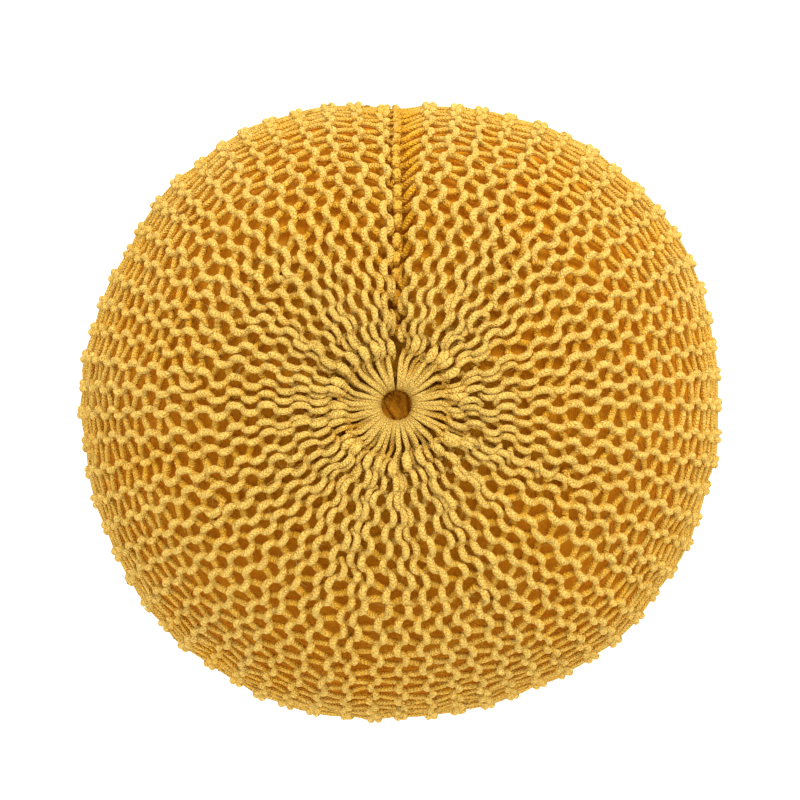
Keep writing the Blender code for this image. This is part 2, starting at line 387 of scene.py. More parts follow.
def course_run(course, first, last):
    """(along, angle, depth, half thickness) of a course's cord from one row to another."""
    per_stitch = 2 * HALF_STEPS
    step = np.arange(first * per_stitch, last * per_stitch + 1)
    row = step / per_stitch
    within = step % per_stitch
    radius = in_section(np.interp(row, ROW, ROW_ALONG), 0)[0]
    low, total = ridge_line(course, row)
    high = ridge_line(course + 1, row)[0]
    spacing = spacing_of(radius, total)
    share, across, up, thick = (
        np.array([np.interp(c, STITCHES[:, 0], STITCH_SHAPES[:, w, k]) for c, w in zip(spacing, within)])
        for k in range(4)
    )
    row = row.astype(int) + share
    height = np.clip(across / spacing, 0, 1)  # 0 on the ridge of the feet, 1 on that of the heads
    overshoot = across - height * spacing
    ease = smooth(height, 0.1, 0.9)

    def blend(values):
        return at_row(values, course, row) * (1 - ease) + at_row(values, course + 1, row) * ease

    line = low + (high - low) * height + (overshoot * blend(SIZE) + blend(DRIFT)) / spacing
    along = np.interp(row, ROW, ROW_ALONG) + blend(STAGGER) + wobble(0, course, step)
    sunk = SUNK[course] * (1 - ease) + SUNK[course + 1] * ease
    depth = FRONT - up - blend(LIFT) + SUNK_DEPTH * gathered(spacing) * sunk
    depth = depth + wobble(1, course, step)
    bulb = (1 - smooth(np.minimum(row, ROWS - row), 0.6, 1.1)) * smooth(up, -0.3, 0)
    thick = thick * (1 + BULB * bulb * (1 - np.minimum(sunk, 1)))
    thick = thick * (1 + wobble(2, course, step))
    if course == COURSES - 1:
        thick = thick * (1 - LAST_THINNER * ease)
    return np.column_stack([along, angle_of(line, radius, spacing), depth, thick])


def float_behind(course, first, last):
    """A short course's cord from its last stitch to the edge, behind the other courses."""
    row = np.linspace(first, last, 4 * abs(last - first) + 1)[1:]
    along = np.interp(row, ROW, ROW_ALONG)
    radius = in_section(along, 0)[0]
    line, total = ridge_line(course, row)
    angle = angle_of(line, radius, spacing_of(radius, total))
    reached = np.minimum(1, np.arange(1, len(row) + 1) / 2)
    return np.column_stack([
        along, angle, FRONT + (FLOAT_DEPTH - FRONT) * reached, FRONT + (FLOAT_THICK - FRONT) * reached
    ])


# ---- The cord's turns at the edges ----

FIRST_STEPS = 4  # steps of the first foot that the spoke takes the place of
SPOKE = (  # out from the lip's middle, depth under the crest, half thickness; from a stitch into the hole
    (2.10, 0.80, 0.27),
    (1.50, 0.68, 0.29),
    (0.95, 0.52, 0.30),
    (0.35, 0.40, 0.27),
    (-0.30, 0.42, 0.22),
    (-0.90, 0.95, 0.19),
    (-1.03, 1.50, 0.19),
)
OVER_GATHER_CORD = ((-0.55, 1.92, 0.20), (0.10, 1.98, 0.22), (0.70, 2.35, 0.24), (0.76, 2.95, 0.24))
UNDER_GATHER_CORD = ((0.10, 3.45, 0.22), (-0.60, 3.10, 0.20), (-0.86, 2.30, 0.19))
SUNK_SPOKE = 0.95  # how far down the spoke of a sunk ridge lies, away from the hole's rim
SUNK_BETWEEN = (-0.2, 1.3)  # how far out it starts to go down, and is all down
LOOP_STEP = 0.5


def crest_height(radius, top):
    """Height of the outer face at radii between the lip and the rim, on the top or on the underside."""
    face = FACE[:RIM_ROW] if top else FACE[:RIM_ROW:-1]
    return np.interp(radius, face[:, 0], face[:, 1])


def travelled(points):
    """Length along a line of points, up to each of them."""
    return np.r_[0, np.cumsum(np.linalg.norm(np.diff(points[:, :3], axis=0), axis=1))]


def eased(rows):
    """A smooth curve through rows of a turn, read again about every LOOP_STEP."""
    rows = np.array(rows)
    steps = round(travelled(rows)[-1] / CORD / LOOP_STEP)
    curve = smooth_curve(rows, 8)
    length = travelled(curve)
    at = np.linspace(0, length[-1], steps + 1)
    return np.column_stack([np.interp(at, length, row) for row in curve.T])


def spoke_rows(way, angle, sunk, top):
    """World points of a spoke's way points at a clock angle, with their half thickness and depth."""
    rows = []
    for out, down, thick in way:
        down = down + SUNK_SPOKE * sunk * smooth(out, *SUNK_BETWEEN)
        radius = LIP_RADIUS + out * CORD
        level = crest_height(max(radius, LIP_RADIUS), top) - (1 if top else -1) * down * CORD
        rows.append([*carried(radius, level, angle), thick, down])
    return rows


def edge_loop(course, angle, foot, after_angle, after_foot, top):
    """The cord's turn at an edge: in at one clock angle, round the gather cord and out at the next one."""
    turning = (angle + after_angle) / 2
    return eased([
        foot,
        *spoke_rows(SPOKE, angle, SUNK[course], top),
        *spoke_rows(OVER_GATHER_CORD, angle, 0, top),
        *spoke_rows(UNDER_GATHER_CORD[:1], turning, 0, top),
        *spoke_rows(UNDER_GATHER_CORD[1:], after_angle, 0, top),
        *spoke_rows(SPOKE[::-1], after_angle, SUNK[course + 1], top),
        after_foot,
    ])[1:-1]


def tail(course, angle, foot, top):
    """The cord's start or end, from a stitch over the gather cord to where it is tucked in."""
    return eased([
        foot,
        *spoke_rows(SPOKE, angle, SUNK[course], top),
        *spoke_rows(OVER_GATHER_CORD[:3], angle, 0, top),
    ])[1:]


def world(along, angle, depth):
    """Points of places on the cover."""
    return carried(*in_section(along, depth), angle)


def placed(run):
    """World points, half thickness and depth of a run of places."""
    return np.column_stack([world(*run.T[:3]), run[:, 3], run[:, 2]])[FIRST_STEPS:-FIRST_STEPS]


def whole_course(course):
    """A course's places from the top edge to the bottom edge, with its floats if it is a short one."""
    first, last = SHORT.get(course, (0, ROWS))
    run = course_run(course, first, last)
    if course in SHORT:
        above = float_behind(course, first, 0)[::-1]
        below = float_behind(course, last, ROWS)
        run = np.vstack([above, run, below])
    return run


def whole_cord():
    """The knitting cord from its first stitch to its last, and where each of its turns ends: points in
    cords, half thickness and depth."""
    runs = [whole_course(course) for course in range(COURSES)]
    parts, breaks = [], []
    for course, run in enumerate(runs):
        down = course % 2 == 0
        points = placed(run)
        if course == 0:
            parts.append(tail(course, run[0][1], points[0], top=True)[::-1])
        parts.append(points if down else points[::-1])
        end = -1 if down else 0
        angle = run[end][1]
        if course == COURSES - 1:
            parts.append(tail(course, angle, points[end], top=not down))
            break
        after = runs[course + 1]
        after_angle = after[end][1]
        parts.append(edge_loop(course, angle, points[end], after_angle, placed(after)[end], top=not down))
        breaks.append(sum(map(len, parts)))
    return np.vstack(parts) / [CORD, CORD, CORD, 1, 1], breaks


# ---- The sewing cord ----

SEAM_STITCH = 2.3  # from one stitch of the seam to the next
SEWN_STEP = 0.25
SEWN_DEPTH, SEWN_DIVE = 0.62, 2.2  # of the cord's middle on a stitch, and how far it goes down after it
SEWN_THICK, SEWN_PINCH = 0.52, 0.26  # half thickness on a stitch, and how much less it is where it dives
SEWN_BEND = (0.28, 0.85)  # shares of half a stitch between which it goes down
SEWN_RIM, SEWN_RIM_SINK = (0.19, 0.24), 0.6  # radii between which it comes to lie deeper, towards the rim
SEWN_INNER, SEWN_INNER_SINK = (0.06, 0.12), 1.5  # and towards the hole


def sewing_cord():
    """The cord that closes the seam, in running stitches: points in cords, half thickness and depth."""
    start = np.interp(SEAM_CORD_ENDS, FACE[:RIM_ROW, 0], ALONG[:RIM_ROW])
    end = np.interp(SEAM_CORD_ENDS, FACE[:RIM_ROW:-1, 0], ALONG[:RIM_ROW:-1])
    along = np.arange(start, end, SEWN_STEP)
    stitch = (along - start) / SEAM_STITCH + 0.10 * np.sin(along * 0.9)
    from_middle = np.abs(stitch % 1 - 0.5) * 2
    dive = smooth(from_middle, *SEWN_BEND)
    radius = in_section(along, 0)[0]
    aside = 0.16 * ((stitch % 1) - 0.5) + 0.10 * np.sin(along * 0.37)
    angle = aside / (2 * math.pi * radius / CORD) * 360
    sunk = SEWN_RIM_SINK * smooth(radius, *SEWN_RIM)
    sunk = sunk + SEWN_INNER_SINK * (1 - smooth(radius, *SEWN_INNER))
    depth = SEWN_DEPTH + SEWN_DIVE * dive + sunk
    thick = SEWN_THICK - SEWN_PINCH * dive
    return np.column_stack([world(along, angle, depth) / CORD, thick, depth])


# ---- The whole cover settles ----

SETTLING_ROUNDS, PAIRS_EVERY = 24, 12  # rounds, and how often the pairs that may touch are found anew
SETTLING_REACH, PRESSING_REACH = 1.15, 1.02  # within which two stretches of cord may touch
SQUEEZED = 0.30  # how near two cords that press on each other come, of their thickness
GIVE = 0.98  # share of its shift that a point keeps each round
FLAT_AT = 0.03  # cords; the knitting is pressed flat here, where the pouf stands


def near_pairs(points, reach, skip=3):
    """Pairs of the cord's points within reach of each other, more than skip points apart on it."""
    tree = kdtree.KDTree(len(points))
    for k, point in enumerate(points):
        tree.insert(point, k)
    tree.balance()
    first, second = [], []
    for k, point in enumerate(points):
        for _, other, _ in tree.find_range(point, reach):
            if other > k + skip:
                first.append(k)
                second.append(other)
    return np.array(first), np.array(second)


def summed(index, values, count):
    """Rows of values, summed by their index."""
    return np.column_stack([np.bincount(index, column, count) for column in values.T])


def settled(cords):
    """Cords, each points in cords and half thickness, after their loops have pushed each other apart.
    The cord nearby shares each push, so that the loops keep their shape."""
    points = np.vstack([cord[:, :3] for cord in cords])
    thick = np.concatenate([cord[:, 3] for cord in cords])
    count = len(points)
    home = points.copy()
    for turn in range(SETTLING_ROUNDS):
        if turn % PAIRS_EVERY == 0:
            first, second = near_pairs(points, SETTLING_REACH)
        gap = points[first] - points[second]
        size = np.linalg.norm(gap, axis=1)
        room = SQUEEZED * (thick[first] + thick[second])
        hit = size < room
        push = gap[hit] * ((room[hit] - size[hit]) / 2 / size[hit])[:, None]
        moved = summed(first[hit], push, count) - summed(second[hit], push, count)
        hits = np.bincount(first[hit], minlength=count) + np.bincount(second[hit], minlength=count)
        points += moved / np.maximum(hits, 1)[:, None]
        shift = points - home
        shift[1:-1] = (shift[:-2] + 2 * shift[1:-1] + shift[2:]) / 4
        points = home + GIVE * shift
    return np.split(np.column_stack([points, thick]), np.cumsum([len(cord) for cord in cords])[:-1])


# ---- Cord made round ----

def ring_frames(points):
    """Two directions across a cord at each of its points, without twist."""
    along = unit(np.gradient(points, axis=0))
    first = np.cross(along[0], (0.3, 0.5, 0.8))
    frames = np.empty_like(points)
    x, y, z = first / np.linalg.norm(first)
    for k, (a, b, c) in enumerate(along.tolist()):
        lean = x * a + y * b + z * c
        x, y, z = x - lean * a, y - lean * b, z - lean * c
        size = math.sqrt(x * x + y * y + z * z)
        x, y, z = x / size, y / size, z / size
        frames[k] = x, y, z
    return frames, np.cross(along, frames)


PRESSED_FACING = 0.3  # a side of the cord that faces another one more than this is pressed by it
PRESSED_LEAST = 0.55  # of the half thickness, however hard it is pressed
NOT_PRESSED = 9.0


def pressed_rings(cords):
    """The rings of soft cords: round, but flat where another stretch presses on them."""
    turn = np.arange(CORD_SIDES) * 2 * math.pi / CORD_SIDES
    spokes = []
    for cord in cords:
        side, up = ring_frames(cord[:, :3])
        spokes.append(side[:, None] * np.cos(turn)[:, None] + up[:, None] * np.sin(turn)[:, None])
    spokes = np.vstack(spokes)
    points, thick = np.hsplit(np.vstack(cords), [3])
    radius = np.repeat(thick, CORD_SIDES, axis=1)
    first, second = near_pairs(points, PRESSING_REACH)
    for here, there in ((first, second), (second, first)):
        gap = points[there] - points[here]
        size = np.linalg.norm(gap, axis=1, keepdims=True)
        share = thick[here] / (thick[here] + thick[there])
        facing = np.einsum("nij,nj->ni", spokes[here], gap / size)
        limit = size * share / np.maximum(facing, PRESSED_FACING)
        np.minimum.at(radius, here, np.where(facing > PRESSED_FACING, limit, NOT_PRESSED))
    radius = np.maximum(radius, PRESSED_LEAST * thick)
    rings = points[:, None] + spokes * radius[..., None]
    rings[..., 2] = np.maximum(rings[..., 2], FLAT_AT)
    return np.split(rings, np.cumsum([len(cord) for cord in cords])[:-1])


def strip_faces(rings, sides):
    """Faces of a tube: its quads ring by ring, then its two end caps."""
    ring = np.arange(rings - 1)[:, None] * sides
    here = np.arange(sides)
    after = (here + 1) % sides
    quads = np.stack([ring + here, ring + after, ring + sides + after, ring + sides + here], axis=2)
    quads = quads.reshape(-1, 4).tolist()
    return quads + [list(range(sides))[::-1], list(range((rings - 1) * sides, rings * sides))]


ROW_LENGTH = 3.6  # cords of length that a row of the square map gets, times the number of rows
ROW_MARGIN = 0.06  # empty edge of a row, of its height
MAP_EDGE = 0.001  # of the square
QUAD_CORNERS = ((0, 0), (0, 1), (1, 1), (1, 0))


def cord_maps(rings, sides, run):
    """Two sets of map places for a tube's quads: along and round the cord, in cords, and laid out in rows
    on one square."""
    column = np.repeat(np.arange(rings - 1), sides)
    side = np.tile(np.arange(sides), rings - 1)
    lie = np.array([[run[column + a], (side + b) / sides] for a, b in QUAD_CORNERS])
    rows = max(1, round(math.sqrt(run[-1] / ROW_LENGTH)))
    per_row = -(-(rings - 1) // rows)
    row = column // per_row
    place = np.array([
        [(column - row * per_row + a) / per_row * (1 - 2 * MAP_EDGE) + MAP_EDGE,
         (row + ROW_MARGIN + (1 - 2 * ROW_MARGIN) * (side + b) / sides) / rows]
        for a, b in QUAD_CORNERS
    ])
    return lie.transpose(2, 0, 1), place.transpose(2, 0, 1)


def mesh_of(name, points, faces):
    """A new mesh of points, in metres, and faces."""
    mesh = bpy.data.meshes.new(name)
    mesh.from_pydata(np.asarray(points, float).tolist(), [], faces)
    return mesh


def keep_depth(mesh, depth):
    """Stores how far each point lies under the outer face, in cords, for the painted shade."""
    kept = mesh.attributes.new("depth", "FLOAT", "POINT")
    depth = np.broadcast_to(np.ravel(depth), len(mesh.vertices))
    kept.data.foreach_set("value", depth.astype(np.float32))


def keep_map(mesh, name, places):
    """Stores a place for each corner of each face."""
    layer = mesh.uv_layers.new(name=name)
    layer.uv.foreach_set("vector", places.astype(np.float32).ravel())


def linked(name, data):
    """A new object in the scene."""
    made = bpy.data.objects.new(name, data)
    bpy.context.scene.collection.objects.link(made)
    return made


def finished(name, mesh, material):
    """The object of a smooth mesh in its one material."""
    mesh.shade_smooth()
    mesh.materials.append(material)
    return linked(name, mesh)


def tube_piece(name, rings, depth, run, material):
    """A closed mesh of a cord's rings, in cords, with its two maps."""
    count, sides = rings.shape[:2]
    mesh = mesh_of(name, rings.reshape(-1, 3) * CORD, strip_faces(count, sides))
    lie, place = cord_maps(count, sides, run)
    cap_places = np.zeros((2 * sides, 2))
    for map_name, places in (("cord", lie), ("OFBake", place)):
        keep_map(mesh, map_name, np.vstack([places.reshape(-1, 2), cap_places]))
    # painted shade: the side of a cord that faces out counts as less deep, and the side that faces in as
    # deeper
    outward = unit(rings - CORE / CORD)
    proud = ((rings - rings.mean(axis=1, keepdims=True)) * outward).sum(axis=2)
    keep_depth(mesh, depth[:, None] - proud)
    return finished(name, mesh, material)


# ---- Stray fibres ----

FIBRES = 1500
FIBRE_RINGS = 5
FIBRE_CORNERS = (0.5, 2.6, 4.7)  # of a ring, in radians
FIBRE_SIDES = len(FIBRE_CORNERS)
FIBRE_THICK = 0.055  # half, where a fibre leaves the cord
FIBRE_LENGTHS, FIBRE_LIFTS, FIBRE_BEND = (0.6, 1.5), (0.1, 0.7), 0.5
FIBRE_DEEPEST = 1.1  # a fibre grows only where the cord lies higher than this
FIBRE_FREE_HOLE = 5  # cords from the holes' axis that stay without fibres
FIBRE_DEPTH = 0.3  # for the painted shade


def off_axis(points):
    """Distance of points from the holes' axis, in cords."""
    return np.hypot(points[:, 0] - AXIS.x / CORD, points[:, 1] - AXIS.y / CORD)


def fibre_rings(cord):
    """Rings, in cords, of short loose fibres that arch over the outer side of the knitting."""
    outer = np.flatnonzero((cord[:, 4] < FIBRE_DEEPEST) & (off_axis(cord) > FIBRE_FREE_HOLE))
    root = cord[rng.choice(outer, FIBRES, replace=False)]
    outward = unit(root[:, :3] - CORE / CORD)
    way = rng.normal(0, 1, (FIBRES, 3))
    way = unit(way - outward * (way * outward).sum(axis=1, keepdims=True))
    side = np.cross(outward, way)
    length = rng.uniform(*FIBRE_LENGTHS, (FIBRES, 1))
    lift = rng.uniform(*FIBRE_LIFTS, (FIBRES, 1))
    bend = rng.normal(0, FIBRE_BEND, (FIBRES, 1))
    start = root[:, :3] + 0.8 * root[:, 3:4] * (outward + 0.5 * way)
    rings = []
    for share in np.linspace(0, 1, FIBRE_RINGS):
        run = share * way + share ** 2 * bend * side + (share - share ** 2) * lift * outward
        middle = start + length * run
        thick = FIBRE_THICK * (1 - 0.5 * share)
        corners = [middle + thick * (math.cos(a) * side + math.sin(a) * outward) for a in FIBRE_CORNERS]
        rings.append(np.stack(corners, axis=1))
    return np.stack(rings, axis=1)


def fibres_piece(cord, material):
    """One mesh of all the fibres, each a closed thin tube."""
    rings = fibre_rings(cord)
    rings[..., 2] = np.maximum(rings[..., 2], FLAT_AT)
    one = strip_faces(FIBRE_RINGS, FIBRE_SIDES)
    fibre_points = FIBRE_RINGS * FIBRE_SIDES
    firsts = range(0, FIBRES * fibre_points, fibre_points)
    faces = [[first + corner for corner in face] for first in firsts for face in one]
    mesh = mesh_of("stray_fibres", rings.reshape(-1, 3) * CORD, faces)
    fibre, spot = np.divmod(np.concatenate(faces), fibre_points)
    ring, side = np.divmod(spot, FIBRE_SIDES)
    columns = math.ceil(math.sqrt(FIBRES))
    cell = np.column_stack([fibre % columns, fibre // columns]) + 0.1
    place = cell + np.column_stack([side * 0.3, ring * 0.2])
    keep_map(mesh, "cord", np.column_stack([ring * 0.3, side / FIBRE_SIDES]))
    keep_map(mesh, "OFBake", place / columns)
    keep_depth(mesh, FIBRE_DEPTH)
    return finished("stray_fibres", mesh, material)


# ---- Materials ----

def shader_group(name, inputs, outputs):
    """An empty node group with named inputs and outputs, each with its value at rest."""
    tree = bpy.data.node_groups.new(name, "ShaderNodeTree")
    for way, sockets in (("INPUT", inputs), ("OUTPUT", outputs)):
        for socket_name, value in sockets.items():
            kind = "NodeSocketColor" if isinstance(value, tuple) else "NodeSocketFloat"
            tree.interface.new_socket(socket_name, in_out=way, socket_type=kind).default_value = value
    entry = tree.nodes.new("NodeGroupInput")
    return tree, entry.outputs, tree.nodes.new("NodeGroupOutput").inputs


def fed(tree, node, values):
    """A node with its inputs linked to sockets or set to values, by name or place."""
    for place, value in values.items():
        if isinstance(value, bpy.types.NodeSocket):
            tree.links.new(value, node.inputs[place])
        else:
            node.inputs[place].default_value = value
    return node


def added(tree, kind, values=(), **settings):
    """A new node's outputs, once it has its settings and the values of its inputs."""
    node = tree.nodes.new("ShaderNode" + kind)
    for name, value in settings.items():
        setattr(node, name, value)
    return fed(tree, node, dict(values)).outputs


def reckoned(tree, operation, *values):
    """A Math node's result."""
    return added(tree, "Math", enumerate(values), operation=operation)[0]


def faded(tree, value, start, end, low=0.0, high=1.0):
    """low where value is under start, high where it is over end, and smooth between."""
    values = enumerate((value, start, end, low, high))
    return added(tree, "MapRange", values, interpolation_type="SMOOTHSTEP")[0]


def noise(tree, scale, detail=2.0):
    """Noise over the piece, with this many grains to the metre."""
    place = added(tree, "TexCoord")["Object"]
    return added(tree, "TexNoise", {"Vector": place, "Scale": scale, "Detail": detail})[0]


def mixed(tree, share, first, second):
    """The first colour where share is 0, and the second where it is 1."""
    return added(tree, "Mix", {"Factor": share, "A": first, "B": second}, data_type="RGBA")["Result"]


def map_place(tree, name):
    """The two places of a piece's own map."""
    place = added(tree, "UVMap", uv_map=name)[0]
    return added(tree, "SeparateXYZ", {0: place})[:2]


def triangle(tree, value, times=1):
    """0 where value times this is whole, and 1 half way between, in straight lines."""
    return reckoned(tree, "PINGPONG", reckoned(tree, "MULTIPLY", value, 2.0 * times), 1.0)


CHAINS, CHAIN_SLANT = 4, 0.6  # of yarn round a cord, and how their loops lean


def chain_of_plies():
    """Loops of yarn chained along a cord: height of the plies, and the gaps between them, where shade is
    painted.
    """
    tree, entry, result = shader_group("chain_of_plies", {"Loop length": 0.4}, {"Height": 0.0, "Gaps": 0.0})
    along, round_cord = map_place(tree, "cord")
    wander = reckoned(tree, "MULTIPLY_ADD", noise(tree, 150, 3.0), 2.6, -1.3)
    across = triangle(tree, round_cord, CHAINS)
    loops = reckoned(tree, "DIVIDE", along, entry["Loop length"])
    phase = reckoned(tree, "MULTIPLY_ADD", across, CHAIN_SLANT, loops)
    ply = faded(tree, triangle(tree, reckoned(tree, "ADD", phase, wander)), 0.0, 0.85)
    middle = faded(tree, across, 0.0, 0.55)
    tree.links.new(reckoned(tree, "MULTIPLY_ADD", middle, 0.5, ply), result["Height"])
    between = faded(tree, ply, 0.0, 0.3, 1.0, 0.0)
    shut = reckoned(tree, "MULTIPLY", between, faded(tree, noise(tree, 430), 0.44, 0.62))
    tree.links.new(shut, result["Gaps"])
    return tree


def cotton_colour_and_shade():
    """The cord's own colour with painted shade: darker and deeper where it lies deeper in the knitting, in
    the low places of its plies and in the gaps between them, with tone that differs at random.
    """
    tree, entry, result = shader_group(
        "cotton_colour_and_shade",
        {"Unshaded colour": (1.0, 1.0, 1.0, 1.0), "Shade colour": (0.5, 0.5, 0.5, 1.0), "Gap shade colour": (0.2, 0.2, 0.2, 1.0),
         "Gaps": 0.0, "Plies": 0.6, "Shade from": 0.15, "Full shade at": 1.2},
        {"Colour": (1.0, 1.0, 1.0, 1.0)},
    )
    # painted shade: the deeper a point lies in the knitting, the more it takes of the shade colour
    depth = added(tree, "Attribute", attribute_name="depth")["Fac"]
    deep = added(tree, "MapRange", {0: depth, 1: entry["Shade from"], 2: entry["Full shade at"]})[0]
    share = reckoned(tree, "ADD", deep, faded(tree, noise(tree, 26, 3.0), 0.3, 0.7, -0.08, 0.08))
    fine = faded(tree, noise(tree, 420), 0.3, 0.75, -0.22, 0.26)
    # painted shade in the low places of the plies' relief, and a paler tone on their tops
    share = reckoned(tree, "ADD", share, faded(tree, entry["Plies"], 0.1, 1.1, 0.22, -0.22))
    share = reckoned(tree, "MAXIMUM", reckoned(tree, "ADD", share, fine), 0.0)
    colour = mixed(tree, reckoned(tree, "MINIMUM", share, 1.0), entry["Unshaded colour"], entry["Shade colour"])
    # painted shade in the gaps between the plies
    colour = mixed(tree, reckoned(tree, "MULTIPLY", entry["Gaps"], 0.9), colour, entry["Gap shade colour"])
    tree.links.new(colour, result["Colour"])
    return tree


CHAIN_OF_PLIES = chain_of_plies()
COTTON_COLOUR_AND_SHADE = cotton_colour_and_shade()


def material_with(name, roughness, sheen):
    """A new material's tree and its shader, with the values that are the same all over."""
    material = bpy.data.materials.new(name)
    material.use_nodes = True
    shader = material.node_tree.nodes["Principled BSDF"]
    fed(material.node_tree, shader, {
        "Roughness": roughness, "Specular IOR Level": 0.10, "Sheen Weight": sheen,
        "Sheen Tint": (1.0, 0.80, 0.36, 1), "Sheen Roughness": 0.5,
    })
    return material, material.node_tree, shader


def bumped(tree, shader, height, distance):
    """Gives the shader a fine relief, so many metres high."""
    bump = added(tree, "Bump", {"Height": height, "Distance": distance})
    fed(tree, shader, {"Normal": bump[0]})


def cord_material(name, unshaded, deep, gap, loop_length):
    """A thick soft cord of chained cotton yarn, in its own colour with painted shade: a darker colour where
    it lies deep and in the gaps between its plies.
    """
    material, tree, shader = material_with(name, 0.9, 0.04)
    plies = added(tree, "Group", {"Loop length": loop_length}, node_tree=CHAIN_OF_PLIES)
    colour = added(tree, "Group", {
        "Unshaded colour": (*unshaded, 1), "Shade colour": (*deep, 1), "Gap shade colour": (*gap, 1), "Gaps": plies["Gaps"],
        "Plies": plies["Height"],
    }, node_tree=COTTON_COLOUR_AND_SHADE)["Colour"]
    fed(tree, shader, {"Base Color": colour})
    fluff = reckoned(tree, "MULTIPLY_ADD", noise(tree, 900, 3.0), 0.9, plies["Height"])
    bumped(tree, shader, fluff, 0.0013)
    return material


WARP, WEFT = 900, 700  # threads of the casing's cloth


def casing_material():
    """Plain-woven cotton cloth, creased, in the cord's colours: at its fixed depth a set share of painted
    shade, and painted shade in the gaps of its weave.
    """
    material, tree, shader = material_with("casing_cloth", 0.85, 0.05)
    across, along = map_place(tree, "OFBake")
    weave = reckoned(tree, "MULTIPLY", triangle(tree, across, WARP), triangle(tree, along, WEFT))
    # painted shade between the threads of the weave, and, at the casing's fixed depth, a set share of the
    # shade colour
    gaps = faded(tree, weave, 0.0, 0.25, 0.5, 0.0)
    colour = added(tree, "Group", {
        "Unshaded colour": (0.94, 0.52, 0.020, 1), "Shade colour": (0.80, 0.25, 0.003, 1),
        "Gap shade colour": (0.40, 0.12, 0.002, 1), "Gaps": gaps, "Shade from": 1.0, "Full shade at": 3.0,
    }, node_tree=COTTON_COLOUR_AND_SHADE)["Colour"]
    fed(tree, shader, {"Base Color": colour})
    creases = reckoned(tree, "MULTIPLY_ADD", noise(tree, 60, 4.0), 6.0, weave)
    bumped(tree, shader, creases, 0.0004)
    return material


def floor_material():
    """A white table lit from below as well, so that the pouf's own shadow stays pale."""
    material, tree, shader = material_with("white_table", 0.8, 0.0)
    fed(tree, shader, {
        "Base Color": (0.93, 0.93, 0.93, 1), "Emission Color": (1, 1, 1, 1), "Emission Strength": 0.62,
    })
    return material


# for each cord: its own colour, the painted shade colour where it lies deep, the painted shade colour in
# the gaps between its plies, and the loop length
cover_cord = cord_material(
    "cover_cord", (0.89, 0.575, 0.122), (0.96, 0.455, 0.008), (0.56, 0.23, 0.006), 0.38)
sewing_yarn = cord_material(
    "sewing_yarn", (0.84, 0.48, 0.060), (0.74, 0.30, 0.010), (0.36, 0.18, 0.010), 0.33)
casing_cloth = casing_material()
white_table = floor_material()

# ---- The casing and the gathering cords ----

CASING_DEPTH = 2.25  # under the outer face
CASING_SWELL = 0.40  # how much nearer the outer face it stands round the sides
CASING_SWELLS = (0.16, 0.24)  # radii between which it does
CASING_TRENCH, TRENCH_HALF_WIDTH = 0.013, 0.009  # along the seam
CASING_SINK = 1.24 * CORD  # towards each hole
CASING_COLUMNS = 180
CASING_ALONG = np.r_[np.linspace(0, 5, 12), np.linspace(6.2, FACE_LENGTH - 6.2, 84)]
CASING_ALONG = np.r_[CASING_ALONG, np.linspace(FACE_LENGTH - 5, FACE_LENGTH, 12)]
CASING_MIDDLE_ROWS = 28  # inside the ring of the gathering cord
FOLDS = (  # both ends, from the hole's middle, the width and the height of each fold in the hole, in mm
    ((-7.6, 3.6), (0.9, -9.5), 5.4, 3.6),
    ((-2.2, 1.6), (4.0, -9.0), 4.6, 2.6),
    ((5.4, 7.0), (7.0, -7.0), 4.8, 3.4),
    ((-5.2, 6.4), (1.2, 4.2), 3.4, 2.6),
    ((-1.0, 8.6), (3.6, 9.0), 3.4, 2.2),
    ((-11.5, 6.0), (-8.5, -7.5), 4.2, 2.6),
    ((11.5, 7.5), (11.8, -6.5), 4.2, 2.6),
)
FOLDS_REACH = (0.014, 0.026)  # radii between which they fade out, under the gathering cord


def folds(x, y):
    """Height of the casing's gathered folds, which show in the hole."""
    height = np.zeros_like(x)
    x, y = x * 1000, y * 1000
    for start, end, width, rise in FOLDS:
        run = np.subtract(end, start)
        share = np.clip(((x - start[0]) * run[0] + (y - start[1]) * run[1]) / (run @ run), 0, 1)
        away = np.hypot(x - start[0] - share * run[0], y - start[1] - share * run[1])
        round_top = np.sqrt(np.clip(1 - (2 * away / width) ** 2, 0, 1))
        height = np.maximum(height, rise / 1000 * round_top)
    return height


def casing_rows():
    """World points of the casing, ring by ring from the top's middle to the underside's."""
    angle = np.arange(CASING_COLUMNS) * 360 / CASING_COLUMNS
    deep = CASING_DEPTH - CASING_SWELL * smooth(in_section(CASING_ALONG, 0)[0], *CASING_SWELLS)
    radius, height = in_section(CASING_ALONG, deep)
    sunk = CASING_SINK * (1 - smooth(radius, HOLE_RADIUS + COVER, GATHER_REACH))
    height = height - np.where(height > WIDEST_AT, sunk, -sunk)
    inside = np.linspace(0.03, 0.98, CASING_MIDDLE_ROWS) * radius[0]
    radius = np.r_[inside, radius, inside[::-1]]
    height = np.r_[np.full(CASING_MIDDLE_ROWS, height[0]), height, np.full(CASING_MIDDLE_ROWS, height[-1])]
    rows = carried(radius[:, None], height[:, None], angle)
    trench = CASING_TRENCH * np.exp(-((seam_distance(radius[:, None], angle) / TRENCH_HALF_WIDTH) ** 2))
    trench = trench * smooth(radius, SEAM_STARTS, 2 * SEAM_CORD_ENDS)[:, None]
    inward = CORE - rows
    rows = rows + inward * (trench / np.linalg.norm(inward, axis=2))[..., None]
    x, y = rows[..., 0] - AXIS.x, rows[..., 1] - AXIS.y
    near_hole = 1 - smooth(np.hypot(x, y), *FOLDS_REACH)
    side = np.where(rows[..., 2] > WIDEST_AT, 1, -1)
    rows[..., 2] += side * near_hole * folds(x, y)
    return rows


